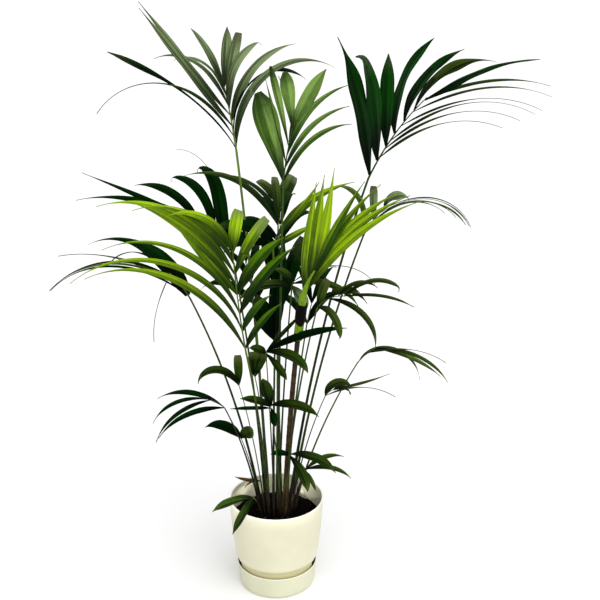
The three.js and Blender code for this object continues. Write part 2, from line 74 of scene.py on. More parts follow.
# Potting soil.
SOIL_LEVEL = 0.2125
SOIL_FLAT = 0.074
SOIL_EDGE = 0.189
SOIL_RADIUS = 0.1162
SOIL_HOLE = 0.002
SOIL_BURIED = 0.007
SOIL_RINGS = 44
SOIL_TURNS = 150
CRUMBS = 1500
CHIPS = 46

# Stalks and midribs.
STEM_TAPER = 0.7
STEM_GIRTH = 1.12
STEM_FLAT = 0.86
RIB_FLAT = 0.9
RIB_TAPER = 0.55
RISE_SHARE = 0.55
LEAN_SHARE = 0.3
STEM_SIDES = 14
STEM_STEPS = 40
RIB_STEPS = 14
FOOT_SWELL = 0.3
FOOT_REACH = 0.12
STEM_GROOVE = 0.25
RIB_GROOVE = 0.15

# The cane and the sheath at its top.
CANE_SHOOT = "bright_mid"
CANE_SHARE = 0.8
CANE_SIDES = 40
CANE_STEPS = 220
SCAR_EVERY = 0.026
SHOOT_RADII = (0.0115, 0.0095)
COLLAR_FROM = 0.79
COLLAR_TO = 0.962
COLLAR_RADIUS = 0.0128
COLLAR_SIDES = 36
COLLAR_STEPS = 40

# Dry sheath ends round the stalks' feet.
HUSK_STEM = 0.0019
HUSK_SHARE = 0.5
HUSK_THICK = 0.0006
HUSK_ACROSS = 7
HUSK_STEPS = 12

# Leaflets.
MM = 1000
FIRST_PAIR = 0.04
LAST_PAIR = 0.97
LATE = 1.3
# The share of a leaflet that the painted shade at its foot takes.
FOOT_SHADE = 0.3
LEAF_STEPS = 30
LEAF_THICK = 0.0005
MIDRIB_HIGH = 0.0007
THREAD = 0.0009
HOOK = 70
ROLL = 9
ACROSS = (-1, -0.8, -0.55, -0.28, -0.06, 0, 0.06, 0.28, 0.55, 0.8, 1)
FACE_WAY = Vector((0, -0.94, 0.34))
UP = Vector((0, 0, 1))
LIT_SIDE = Vector((0.5, 0, 1))
SWEEP_FROM = Vector((0.062, -2.157, 1.488))


class Arc(NamedTuple):
    """A smooth curve from one point to another, drawn towards a middle one."""

    start: Vector
    middle: Vector
    end: Vector

    def point(self, t):
        return self.start * (1 - t) ** 2 + self.middle * 2 * t * (1 - t) + self.end * t * t

    def way(self, t):
        return ((self.middle - self.start) * (1 - t) + (self.end - self.middle) * t).normalized()


class Frond:
    """A stalk and its blade, given in millimetres and degrees.

    foot is where the stalk stands in the soil, neck where the blade begins, tip the end of its
    midrib, stem the stalk's radius, wide the usual leaflet width, and look the green. Each row,
    from the neck up, is a leaflet: (length, compass heading, first rise, bend down over its
    length, share of the usual width, lateness of the bend). Heading 0 is +X and 90 is +Y, and
    the last two are 1 and LATE where they aren't given. For the left and the right side, ends
    has a letter of ENDS for each leaflet, sweep is how far leaflets drift to the back, as a
    share of their length, starts the share of the midrib where the first one stands, and more
    how many blended ones follow each. shade is the share of a leaflet that its dark foot, a
    painted shade, takes, and bow how far the stalk's middle stands aside.
    """

    def __init__(self, foot, neck, tip, stem, wide, look, ends, left, right, sweep=(0, 0),
                 shade=FOOT_SHADE, starts=(FIRST_PAIR, FIRST_PAIR), more=("", ""), bow=(0, 0)):
        foot = Vector((foot[0] / MM, foot[1] / MM, SOIL_LEVEL))
        neck, tip = (Vector([size / MM for size in place]) for place in (neck, tip))
        self.stalk = Arc(foot, Vector((
            foot.x + LEAN_SHARE * (neck.x - foot.x) + bow[0] / MM,
            foot.y + LEAN_SHARE * (neck.y - foot.y) + bow[1] / MM,
            foot.z + RISE_SHARE * (neck.z - foot.z),
        )), neck)
        ahead = neck + self.stalk.way(1) * ((tip - neck).length / 2)
        self.rib = Arc(neck, (neck + tip) * 0.2 + ahead * 0.6, tip)
        # Towards the middle of the plant, and up: the side where the stalk is grooved.
        lean = Vector((*(neck - foot).xy, 0))
        self.inner = UP - (lean.normalized() if lean.length > 0.02 else Vector((0, -1, 0)))
        self.stem = stem / MM
        self.wide = wide / MM
        self.rows = [
            [(row[0] / MM, *row[1:], *(1, LATE)[len(row) - 4:]) for row in rows]
            for rows in (left, right)
        ]
        self.look, self.ends, self.sweep = look, ends, sweep
        self.shade, self.starts, self.more = shade, starts, more

    def leaflets(self, side):
        """Each leaflet's share of the midrib, its row and the letter of its end."""
        rows, more, start = self.rows[side], self.more[side], self.starts[side]
        last = len(rows) - 1
        for i, row in enumerate(rows):
            spaces = int(more[i]) + 1 if i < len(more) else 1
            for k in range(spaces):
                share = k / spaces
                if k:
                    row = tuple(a + (b - a) * share for a, b in zip(rows[i], rows[i + 1]))
                t = start + (LAST_PAIR - start) * (i + share) / last if last else start
                yield t, row, self.ends[side][i]


FRONDS = {
    "top_left": Frond((-22, 12), (-90, 60, 1141), (-127, 190, 1285), 3.9, 25, "grey",
        ("ltssffp", "slskbp"),
        [(376, 180, 66, 46, 1.05, 0.6), (392, 190, 61, 117, 0.55), (345, 172, 52, 2),
         (335, 176, 51, 0, 0.85), (240, 168, 70, 93, 1.1), (180, 165, 74, 100),
         (162, 165, 72, 30, 1.05)],
        [(370, 10, 89, 120, 0.8), (286, 20, 91, 134, 0.75), (258, 15, 80, 74, 1.05),
         (198, 20, 95, 78, 1.05), (155, 20, 80, 6), (142, 0, 84, -4, 1.25)], sweep=(-0.55, 0.45),
        shade=0.4),
    "top_mid": Frond((4, -8), (24, -70, 1089), (46, -110, 1218), 2.9, 26, "fresh",
        ("osos", "sssuo"),
        [(205, 180, 75, 2, 2.25), (190, 180, 78, 2, 0.45, 0.8), (178, 175, 79, 4, 0.7),
         (120, 180, 84, 20, 0.4)],
        [(212, -5, 69, 66, 0.6), (207, 0, 69, 58, 0.55), (215, 5, 74, 60, 0.65),
         (178, 10, 72, 22, 1.25), (125, 180, 86, 8, 1.2)], sweep=(0.5, -0.5)),
    "top_right": Frond((34, 14), (232, 140, 1060), (389, 280, 1245), 3.8, 27, "forest",
        ("nkusffw", "tttff"),
        [(345, 180, 86, 24, 1.8), (274, 180, 88, 30, 2.05, 2.5), (225, 90, 86, -2, 1.35),
         (256, 0, 91, 50, 1.6), (240, 10, 74, 56, 1.55), (266, 10, 63, 80, 1.2),
         (310, 0, 33, 32, 1.6)],
        [(326, -10, 43, 64, 0.3), (392, 0, 40, 68, 0.3), (374, 0, 31, 57, 0.25),
         (366, 0, 28, 50, 0.3), (335, 3, 23, 40, 0.4)], sweep=(-0.5, 0.5),
        starts=(FIRST_PAIR, 0.22), more=("", "1")),
    "left_dark": Frond((-30, 30), (-112, 190, 828), (-209, 240, 924), 2.8, 24, "deep_shade",
        ("tff", "kks"),
        [(350, 180, 82, 86, 0.25, 3.8), (395, 185, 40, 52, 0.9), (330, 180, 26, 4, 0.7)],
        [(255, 175, 84, 118, 1.6, 6), (228, 160, 84, 104, 1.1, 1.8), (215, 170, 62, 76)],
        sweep=(0.6, 0.3), starts=(FIRST_PAIR, 0.3)),
    "mid_back": Frond((2, 34), (6, 140, 937), (13, 240, 966), 2.8, 26, "faded", ("ssb", "bb"),
        [(295, 180, 65, 84, 0.7), (210, 170, 60, 75, 0.75), (95, 165, 66, 40, 1.3)],
        [(130, 100, 82, 40, 0.9), (90, 40, 76, 30, 1.5)], sweep=(0.5, 0.5), shade=0.65),
    "bright_left": Frond((-18, -34), (-62, -170, 715), (-82, -248, 979), 3, 25, "bright",
        ("fffffs", "ssssbb"),
        [(440, 180, 64, 90, 0.7), (470, 180, 73, 113, 0.55, 1), (375, 180, 69, 95, 0.6, 1.2),
         (240, 175, 52, 4), (355, 180, 62, 80, 0.8), (182, 188, 74, 96, 0.7)],
        [(140, 0, 66, 30, 0.65), (110, 5, 70, 40, 0.7), (200, -5, 64, 28, 0.95),
         (168, 0, 67, 36, 1.05), (142, 10, 70, 24, 0.95), (95, 30, 87, 14, 1.1, 1.1)],
        sweep=(-0.35, -0.3), shade=0.45, more=("00011", "")),
    "bright_mid": Frond((22, -22), (69, -140, 842), (94, -180, 913), 7, 27, "bright", ("ff", "fff"),
        [(260, 0, 86, 5, 1.1), (235, 0, 77, -6, 1.05)],
        [(350, -5, 58, 40, 0.7), (290, 5, 61, 36, 0.8), (228, 10, 66, 12, 0.75)],
        sweep=(-0.2, -0.5), shade=0.25, more=("1", "11")),
    "young_mid": Frond((12, 14), (-2, -20, 925), (6, -20, 952), 2.6, 22, "bright", ("kks", "sf"),
        [(120, 185, 32, 80, 1.05), (155, 180, 44, 72, 1.3), (165, 0, 48, -10, 0.6)],
        [(110, 0, 30, 0, 0.8), (232, 0, 55, 45, 1.05)], sweep=(-0.3, 0.3), shade=0.5),
    "right_grey": Frond((38, -9), (219, 90, 925), (280, 170, 979), 3.4, 22, "grey", ("sbs", "flf"),
        [(165, 180, 96, 105, 1.1, 1.8), (85, 90, 82, 20), (85, 5, 75, 130, 1.1)],
        [(240, 0, 60, 104, 0.45), (262, -5, 40, 98, 0.4), (265, 5, 28, 96, 0.3)],
        sweep=(-0.1, -0.4), shade=0.35, more=("", "11")),
    "left_low": Frond((-38, -7), (-193, -110, 827), (-228, -170, 905), 3.4, 24, "deep_shade",
        ("ffft", "vts"),
        [(355, 180, 40, 86, 0.25), (330, 190, 39, 86, 0.2), (290, 195, 36, 78, 0.2),
         (165, 200, -60, 32, 0.15)],
        [(295, 170, 66, 95, 1.8), (296, 172, 28, 40, 0.6), (180, 165, 50, 110, 0.6)],
        sweep=(-0.5, 0.2), starts=(FIRST_PAIR, 0.1)),
    "right_low": Frond((45, -18), (208, 40, 606), (254, 50, 644), 2.5, 20, "olive", ("ts", "ss"),
        [(215, 5, 12, 50, 0.3), (220, -2, 0, 60, 0.55)],
        [(214, -14, 64, 149, 0.55, 0.95), (184, -10, -6, 36, 0.55)], sweep=(-0.4, 0.4),
        starts=(0.6, 0.1)),
    "right_small": Frond((38, -31), (123, -70, 562), (142, -90, 588), 1.9, 18, "olive",
        ("sf", "ts"),
        [(92, 5, 80, 150, 1.05), (142, 0, 12, -12, 0.6)],
        [(180, -5, 28, 62, 0.35), (60, -10, 50, 150)], sweep=(-0.4, 0.3)),
    "right_olive": Frond((18, -46), (101, -130, 809), (162, -190, 858), 2.6, 20, "olive",
        ("bssk", "kss"),
        [(70, 20, 78, 20, 1.1), (120, -20, 50, 110, 0.55), (60, 0, 66, 110, 0.5),
         (150, 5, 45, 95, 0.6)],
        [(132, -60, 20, 110, 0.9), (176, -10, -4, 92, 0.7, 1.2), (162, 0, 8, 40, 0.45)],
        sweep=(-0.3, -0.6), more=("011", "")),
    "mid_hub": Frond((6, -38), (43, -95, 852), (46, -100, 864), 2.4, 20, "olive", ("ss", "pst"),
        [(140, 182, 14, 70, 1.1), (60, 150, 50, 60, 0.9)],
        [(65, -30, -45, 20, 1.55), (175, -5, 14, 75, 0.8), (215, 5, 36, 90, 0.3)],
        sweep=(-0.3, -0.3)),
    "centre_dark": Frond((-8, -16), (0, -20, 684), (16, 0, 812), 3, 26, "deep_shade", ("ps", "sbs"),
        [(125, 175, 66, -8, 1.9), (170, 165, 80, 18, 1.7)],
        [(260, 60, 87, 8, 1.55), (205, 5, 77, 16, 1.45), (130, 10, 72, 40, 1.3)],
        sweep=(0.2, -0.1)),
    "low_left": Frond((-42, -22), (-121, -90, 539), (-152, -120, 575), 2.4, 18, "deep_shade",
        ("ff", "ff"),
        [(185, 190, 4, 62, 0.8), (175, 196, -6, 66, 0.6)],
        [(178, 175, 37, 71, 0.9), (167, 182, 10, 76, 0.7)], sweep=(-0.5, 0.3)),
    "low_left_pair": Frond((-38, -33), (-85, -60, 443), (-88, -60, 450), 1.7, 20, "deep_shade",
        ("s", "b"),
        [(108, 180, 52, 92, 1.3)],
        [(40, 20, 60, 100, 1.75)], sweep=(-0.3, 0)),
    "young_a": Frond((-28, -42), (-87, -70, 591), (-88, -70, 600), 1.7, 20, "young", ("s", "b"),
        [(138, 180, 66, 150)],
        [(75, 100, 86, 20, 1.1)], sweep=(-0.3, 0)),
    "young_b": Frond((-18, -56), (-47, -85, 620), (-46, -85, 630), 1.7, 20, "young", ("b", "b"),
        [(62, 90, 86, 10, 1.6)],
        [(66, 20, 76, 20, 1.3)], bow=(12, 0)),
    "young_c": Frond((-4, -56), (-19, -100, 685), (-17, -102, 694), 1.7, 20, "young", ("ss", "pps"),
        [(45, 180, 45, 60), (125, 10, 46, 4, 0.55)],
        [(80, -30, -35, 20, 0.95), (122, -10, 12, 85, 1.3), (200, 5, 28, 30, 0.95)],
        sweep=(-0.3, -0.4)),
    "young_d": Frond((14, -58), (-9, -90, 539), (-8, -92, 548), 1.7, 20, "young", ("ssp", "ps"),
        [(100, 185, 2, 5, 0.55), (80, 178, 33, 42), (72, 170, 74, 2, 1.6)],
        [(45, -60, -60, 0, 1.05), (126, 0, 12, 62, 1.15)], sweep=(-0.4, -0.5)),
    "pot_left": Frond((-34, -54), (-53, -105, 301), (-57, -108, 304), 1.7, 20, "young", ("s", "s"),
        [(112, 188, 2, 42, 1.3)],
        [(104, 215, -45, 15, 1.35)]),
    "pot_right": Frond((30, -42), (35, -60, 395), (40, -62, 400), 1.7, 20, "young", ("s", "ps"),
        [(50, 180, 30, 60, 0.8)],
        [(105, -40, -35, 50, 1.3), (130, 0, 1, 60, 1.25)]),
    "pot_right_b": Frond((50, 0), (76, -20, 330), (78, -20, 336), 1.7, 18, "olive", ("ss", "ss"),
        [(115, 0, 56, 76, 0.7), (100, 6, 42, 50, 0.45)],
        [(60, -30, -50, 20, 0.65), (125, -5, 20, 70, 0.7)], sweep=(0.4, -0.3), bow=(-6, 0)),
    "pot_small": Frond((-35, 10), (-40, 0, 290), (-42, 0, 296), 1.7, 16, "dry", ("s", "s"),
        [(70, 180, 2, -20, 0.6)],
        [(50, 200, 20, 80, 0.3)]),
    "back_left": Frond((-26, 44), (-60, 210, 700), (-90, 330, 790), 2.6, 24, "deep_shade", ("sss", "sss"),
        [(230, 142, 38, 90), (182, 125, 52, 82), (170, 112, 62, 58)],
        [(230, 70, 45, 85), (210, 85, 50, 75), (160, 95, 66, 50)]),
    "back_right": Frond((26, 44), (80, 230, 640), (110, 350, 720), 2.6, 24, "deep_shade", ("sss", "sss"),
        [(220, 120, 40, 90), (210, 105, 50, 80), (170, 95, 60, 60)],
        [(210, 55, 45, 85), (200, 65, 50, 75), (160, 80, 66, 50)]),
    "back_mid": Frond((0, 48), (6, 260, 860), (10, 400, 920), 2.6, 24, "deep_shade", ("sss", "sss"),
        [(230, 130, 40, 90), (170, 115, 50, 80), (110, 105, 60, 60)],
        [(230, 60, 45, 85), (180, 75, 50, 75), (110, 85, 66, 50)]),
}

# Leaflets that turn aside to pass a neighbour, in degrees. Each is named by its frond, its side
# and its number from the neck up: L0 is the lowest on the left.
TURNS = {
    "mid_back L0": 3, "mid_hub R0": 3, "centre_dark R0": -27, "centre_dark R1": 12,
    "low_left_pair L0": -12, "low_left_pair R0": 3, "young_c L1": 6, "young_d L0": -3,
    "pot_right R0": 6, "back_mid L0": 3,
}

# How wide a leaflet is along its length, by the letter of its end, as (percent of its length,
# percent of its width): fine, strap, hooked, needle, blunt, pointed oval, upright oval, thread,
# late (fullest near its end), broad-footed, outward (fullest far out, with a blunter end) and
# waisted. At its root it has 12 percent of its width, and a broad-footed one 20.
ENDS = {
    "f": ((12, 60), (28, 100), (50, 95), (70, 62), (85, 25), (95, 7), (100, 0)),
    "s": ((10, 55), (25, 92), (45, 100), (65, 92), (80, 62), (91, 26), (100, 0)),
    "k": ((10, 50), (25, 85), (50, 100), (72, 96), (86, 70), (93, 20), (100, 3)),
    "n": ((10, 50), (25, 85), (50, 100), (68, 90), (80, 50), (87, 16), (100, 4)),
    "b": ((15, 50), (40, 90), (65, 100), (86, 96), (96, 82), (100, 62)),
    "p": ((15, 50), (40, 92), (60, 100), (78, 82), (91, 45), (100, 0)),
    "u": ((10, 50), (25, 85), (50, 100), (75, 95), (90, 55), (100, 0)),
    "t": ((10, 70), (22, 100), (38, 75), (50, 35), (65, 18), (100, 6)),
    "l": ((20, 26), (54, 28), (66, 50), (76, 100), (87, 80), (95, 35), (100, 0)),
    "v": ((8, 75), (20, 100), (42, 92), (62, 50), (80, 20), (100, 0)),
    "o": ((15, 30), (35, 62), (60, 95), (75, 100), (88, 85), (96, 50), (100, 20)),
    "w": ((15, 70), (30, 100), (50, 82), (68, 36), (80, 26), (92, 34), (100, 0)),
}

# Oval, blunt, broad-footed and outward leaflets stand with their faces more towards the front.
FACED = "bpouv"

# Left and right leaflets lighter (more than 0) or darker than the rest of their frond.
TONES = {
    "top_left": ((-0.4, 0, -0.3, 0, 0, 0, -0.1), (-0.1, -0.6)),
    "top_mid": ((-0.15, -0.1, 0, -0.3), (-0.1, 0, 0, 0.15, 0.1)),
    "top_right": ((-0.3, 0, 0, 0, -0.3, -0.2, 0.1), ()),
    "bright_left": ((0, 0, 0, 0.15, 0, 0.1, 0, 0.3), (-0.2, -0.8, -0.3, -0.05, -0.1, 0.5)),
    "bright_mid": ((0.35, 0, 0.5), (0.2, 0, 0.2, 0, -0.2)),
    "right_olive": ((0, 0, 0.3), ()),
    "centre_dark": ((-0.5, -0.5), (-0.4, -0.4)),
    "low_left_pair": ((-0.5,), ()),
    "young_a": ((), (0.4,)),
    "young_b": ((-0.4,), ()),
    "young_c": ((0, -0.4), (0, 0, -0.4)),
    "young_d": ((), (0, 0.1)),
}

# Leaflets whose far end is more worn, or less, than chance gives.
WORN = {
    "top_mid L0": 0.95, "top_mid L2": 1, "top_mid R4": 0.85, "mid_back L2": 0.5,
    "mid_back R0": 0.55, "mid_back R1": 0.6,
}

# Leaflets of another green than the rest of their frond. The darkest group is painted shade.
OTHER_LOOKS = {
    "deep_shade": ("top_left L0", "top_left R1", "young_mid L0", "young_mid L1", "young_c R2",
        "young_d L0", "young_d R0", "pot_right L0"),
    "faded": ("top_left L1", "top_right R0", "right_grey L0", "right_grey R0", "right_grey R2",
        "right_grey R4", "left_low L1", "left_low L3", "left_low R1", "right_low L0",
        "right_low R0", "right_low R1", "right_small R0", "mid_hub R2"),
    "olive": ("top_right L5", "top_right R1", "top_right R2", "top_right R3", "top_right R4",
        "top_right R5", "right_grey R1", "right_grey R3"),
    "grey": ("left_dark L0", "mid_hub R0"),
    "young": ("low_left_pair R0",),
    "lit": ("bright_left R0", "bright_left R2", "bright_left R3"),
}
OTHER_LOOK = {leaflet: look for look, group in OTHER_LOOKS.items() for leaflet in group}

# Leaf finishes: name, gloss, roughness, then the colours in shade, in light, of the painted shade
# at a leaflet's foot, in its nerves, and worn.
LEAF_SKINS = {
    "grey": ("grey green leaf", 0.1, 0.45,
        (36, 52, 18), (116, 134, 90), (16, 32, 0), (134, 152, 104), (72, 72, 50)),
    "fresh": ("mid green leaf", 0.09, 0.45,
        (26, 62, 4), (132, 164, 84), (4, 30, 0), (96, 132, 30), (18, 44, 2)),
    # Painted shade: near-black base colours stand in for the shade on the crown's hidden centre and
    # back leaflets.
    "deep_shade": ("dark green leaf in painted shade", 0.02, 0.5,
        (0, 9, 0), (0, 44, 0), (0, 5, 0), (2, 34, 0), (50, 62, 36)),
    "forest": ("forest green leaf", 0.03, 0.5,
        (0, 20, 0), (4, 62, 0), (0, 8, 0), (6, 54, 2), (66, 78, 52)),
    "faded": ("faded leaf", 0.05, 0.5,
        (16, 40, 0), (84, 104, 38), (8, 28, 0), (56, 78, 20), (118, 120, 92)),
    "bright": ("young bright leaf", 0.07, 0.45,
        (30, 64, 0), (162, 198, 22), (14, 40, 0), (60, 98, 0), (112, 132, 70)),
    "olive": ("olive leaf", 0.04, 0.48,
        (0, 12, 0), (58, 80, 18), (2, 12, 0), (64, 84, 26), (84, 88, 52)),
    "young": ("seedling leaf", 0.03, 0.45,
        (0, 10, 0), (38, 60, 6), (1, 9, 0), (44, 64, 12), (76, 88, 42)),
    "lit": ("sunlit leaf", 0.05, 0.45,
        (8, 40, 0), (104, 148, 10), (6, 28, 0), (40, 78, 0), (110, 130, 60)),
    "dry": ("dried leaf", 0.05, 0.7,
        (24, 14, 4), (66, 44, 16), (16, 12, 2), (74, 54, 22), (18, 12, 4)),
}

# Stalk finishes: name, then the colours in shade, in light, and where it differs, of the foot.
STALK_SKINS = {
    "grey": ("grey green stalk", (4, 18, 0), (100, 124, 44)),
    "fresh": ("mid green stalk", (4, 22, 0), (54, 84, 14), (9, 7, 2)),
    "deep_shade": ("dark green stalk", (2, 12, 0), (54, 72, 18), (10, 7, 3)),
    "forest": ("forest green stalk", (3, 16, 0), (44, 62, 14), (10, 7, 3)),
    "faded": ("faded stalk", (4, 14, 0), (74, 90, 30)),
    "bright": ("young bright stalk", (6, 22, 0), (84, 112, 20), (16, 11, 4)),
    "newest": ("newest stalk", (14, 30, 0), (112, 148, 22), (16, 11, 4)),
    "olive": ("olive stalk", (4, 14, 0), (66, 84, 20)),
    "young": ("seedling stalk", (3, 14, 0), (66, 88, 24)),
    "dry": ("dried stalk", (46, 30, 10), (110, 82, 40)),
}
# Fronds whose stalk has another finish than their leaflets, and fronds of bright young leaf.
STALK_LOOKS = {CANE_SHOOT: "newest", "right_grey": "forest", "left_low": "olive"}
BRIGHT = ("bright_left", "bright_mid", "young_mid")


def colour(*levels):
    """A colour given as it looks on a screen, 0 to 255, as the shader's own numbers."""
    shares = [level / 255 for level in levels]
    return (*(s / 12.92 if s <= 0.04045 else ((s + 0.055) / 1.055) ** 2.4 for s in shares), 1)


def smooth(value, low, high):
    share = max(0.0, min(1.0, (value - low) / (high - low)))
    return share * share * (3 - 2 * share)


def circle(count):
    return [2 * math.pi * j / count for j in range(count)]


def put(name, data):
    thing = bpy.data.objects.new(name, data)
    bpy.context.scene.collection.objects.link(thing)
    return thing


class Value:
    """A number that varies over a finish. Sums and products of it add their own nodes."""

    def __init__(self, finish, socket):
        self.finish = finish
        self.socket = socket

    def __add__(self, other):
        return self.finish.maths("ADD", self, other)

    def __sub__(self, other):
        return self.finish.maths("SUBTRACT", self, other)

    def __rsub__(self, other):
        return self.finish.maths("SUBTRACT", other, self)

    def __mul__(self, other):
        return self.finish.maths("MULTIPLY", self, other)

    def __pow__(self, other):
        return self.finish.maths("POWER", self, other)

    __radd__ = __add__
    __rmul__ = __mul__


class Finish:
    """A procedural material. The shader's steady values are given by name."""

    def __init__(self, name, steady):
        self.material = bpy.data.materials.new(name)
        self.material.use_nodes = True
        self.tree = self.material.node_tree
        self.shader = self.tree.nodes["Principled BSDF"]
        for socket, value in steady.items():
            self.shader.inputs[socket].default_value = value

    def add(self, kind, settings, inputs, output=0):
        node = self.tree.nodes.new("ShaderNode" + kind)
        for setting, value in settings.items():
            setattr(node, setting, value)
        for socket, value in inputs.items():
            if isinstance(value, Value):
                self.tree.links.new(value.socket, node.inputs[socket])
            else:
                node.inputs[socket].default_value = value
        return Value(self, node.outputs[output])

    def maths(self, operation, *values):
        return self.add("Math", {"operation": operation}, dict(enumerate(values)))

    def mark(self, name):
        return self.add("Attribute", {"attribute_name": name}, {}, "Fac")

    def noise(self, scale, detail=2, rough=0.5, stretch=(1, 1, 1), at=None):
        if not at:
            at = self.add("TexCoord", {}, {}, "Object")
            at = self.add("VectorMath", {"operation": "MULTIPLY"}, {0: at, 1: stretch})
        return self.add("TexNoise", {}, {
            "Vector": at, "Scale": scale, "Detail": detail, "Roughness": rough,
        })

    def step(self, value, low, high):
        return self.add("MapRange", {"interpolation_type": "SMOOTHSTEP"}, {
            "Value": value, "From Min": low, "From Max": high,
        })

    def mix(self, share, first, second):
        first, second = (c if isinstance(c, Value) else colour(*c) for c in (first, second))
        return self.add("Mix", {"data_type": "RGBA"}, {0: share, 6: first, 7: second}, 2)

    def coat(self, paint, rough, height=None, depth=0, strength=1):
        """The material, with its colour, its roughness, and its relief as a bump."""
        drives = {"Base Color": paint, "Roughness": rough}
        if height:
            drives["Normal"] = self.add("Bump", {}, {
                "Height": height, "Distance": depth, "Strength": strength,
            })
        for socket, value in drives.items():
            self.tree.links.new(value.socket, self.shader.inputs[socket])
        return self.material


class Shape:
    """The vertices and faces of one piece, with the marks that its finish reads at each vertex."""

    # The fourth mark holds a leaflet's worn end or a stalk's old foot, and on the pot and the
    # saucer a painted highlight along the top of the rim. The fifth mark holds painted shade.
    MARKS = ("along", "across", "tone", "wear_and_highlight", "shade")

    def __init__(self):
        self.points = []
        self.faces = []
        self.kinds = []
        self.marks = []
        self.rings = []

    def ring(self, points, marks):
        """Adds points, as a ring for the next skin. Returns the number of the first one."""
        first = len(self.points)
        self.points += points
        self.marks += [tuple(mark) + (0,) * (len(self.MARKS) - len(mark)) for mark in marks]
        self.rings.append(range(first, len(self.points)))
        return first

    def skin(self, kind=0):
        """Walls between the rings since the last skin, and a flat cover over each end."""
        for low, high in zip(self.rings, self.rings[1:]):
            for j in range(len(low)):
                k = (j + 1) % len(low)
                self.faces.append((low[j], low[k], high[k], high[j]))
        self.faces += [tuple(reversed(self.rings[0])), tuple(self.rings[-1])]
        self.kinds += [kind] * (len(self.faces) - len(self.kinds))
        self.rings.clear()

    def mesh(self, name, finishes):
        mesh = bpy.data.meshes.new(name)
        mesh.from_pydata(self.points, [], self.faces)
        for finish in finishes:
            mesh.materials.append(finish)
        mesh.polygons.foreach_set("material_index", self.kinds)
        work = bmesh.new()
        work.from_mesh(mesh)
        bmesh.ops.recalc_face_normals(work, faces=work.faces)
        work.to_mesh(mesh)
        work.free()
        mesh.update()
        return mesh

    def piece(self, name, slot, finishes, nodes=(), crease=50):
        mesh = self.mesh(name, finishes)
        for i, mark in enumerate(self.MARKS):
            layer = mesh.attributes.new(mark, "FLOAT", "POINT")
            layer.data.foreach_set("value", [row[i] for row in self.marks])
        mesh.shade_smooth()
        mesh.set_sharp_from_angle(angle=math.radians(crease))
        piece = put(name, mesh)
        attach(piece, "root")
        if nodes:
            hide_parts(*nodes)
        return piece


# Finishes.

def leaf_finish(name, gloss, rough, deep_shade, pale, root, nerve, worn):
    """Leaf skin: painted shade over the foot and one half of the fold, long nerves, and a worn end.
    """
    leaf = Finish(name, {"Specular IOR Level": gloss})
    along, across, tone, wear_and_highlight, reach = (leaf.mark(mark) for mark in Shape.MARKS)
    lane = leaf.add("CombineXYZ", {}, {"X": across * 2.6, "Y": along * 1.4, "Z": tone * 23})
    streak = leaf.noise(2.4, 3, at=lane)
    mottle = leaf.noise(55, 3)
    lit = leaf.step(across, -0.12, 0.12)
    shade = tone + (along - 0.5) * 0.25 + (streak - 0.5) * 0.9 + (mottle - 0.5) * 0.35
    body = leaf.mix(leaf.step(shade + (lit - 0.5) * 0.5 + 0.1, 0, 1.25), deep_shade, pale)
    rib = (leaf.maths("COSINE", across * 9.42) * 0.5 + 0.5) ** 7
    fine = leaf.maths("SINE", across * 58 + streak * 3) * 0.5 + 0.5
    body = leaf.mix(rib * 0.5 + fine * 0.16, body, nerve)
    # Painted shade over the leaflet's foot, as far up as the frond's shade share reaches.
    foot = 1 - leaf.step(along + (streak - 0.5) * 0.3, reach * 0.35, reach * 1.5 + 0.05)
    body = leaf.mix(foot * 0.92, body, root)
    tip = leaf.step(along + (mottle - 0.5) * 0.25, 1.02 - wear_and_highlight * 0.45, 1.0)
    body = leaf.mix(tip * wear_and_highlight, body, worn)
    sheen = rough + (streak - 0.5) * 0.16 + tip * 0.15
    return leaf.coat(body, sheen, rib * 0.7 + fine * 0.22 + streak * 0.5, 0.0009, 0.6)


def stem_finish(name, deep_shade, pale, foot=(14, 9, 4)):
    """Stalk skin: dark and streaked low down, paler towards the blade, brown husk at the soil."""
    stem = Finish(name, {"Specular IOR Level": 0.1})
    along, across, tone, wear_and_highlight = (stem.mark(mark) for mark in Shape.MARKS[:4])
    strand = stem.noise(260, stretch=(1, 1, 0.05))
    blotch = stem.noise(60, stretch=(1, 1, 0.35))
    lit = stem.step(across, 0.62, 0.35)
    shade = tone + along * along * 0.5 + (strand - 0.5) * 1.2 + (blotch - 0.5) * 0.3 + lit * 0.3
    body = stem.mix(stem.step(shade, 0.2, 1.2), deep_shade, pale)
    old = stem.step(wear_and_highlight + (blotch - 0.5) * 0.5, 0.25, 0.75)
    husk = stem.mix(stem.step(strand, 0.5, 0.75), foot, (44, 36, 16))
    sheen = 0.42 + old * 0.35 + (strand - 0.5) * 0.2
    relief = strand + stem.maths("SINE", across * 34) * 0.15 + blotch * old
    return stem.coat(stem.mix(old, body, husk), sheen, relief, 0.0007, 0.7)


def bark_finish():
    """Bark with fissures along it, paler patches, dark leaf scars and a green upper end."""
    bark = Finish("woody cane", {"Specular IOR Level": 0.25})
    fissure = bark.noise(330, 4, 0.65, stretch=(1, 1, 0.1))
    patch = bark.noise(42, 3)
    upper = bark.step(bark.mark("along") + (patch - 0.5) * 0.3, 0.75, 1.0)
    body = bark.mix(bark.step(fissure * 0.7 + patch * 0.5, 0.35, 0.85), (7, 5, 0), (78, 54, 14))
    body = bark.mix(bark.mark("tone") * 0.75, body, (10, 6, 2))
    body = bark.mix(upper * 0.7, body, (22, 22, 4))
    return bark.coat(body, 0.7 + (patch - 0.5) * 0.3, fissure + patch * 0.4, 0.0012, 0.8)


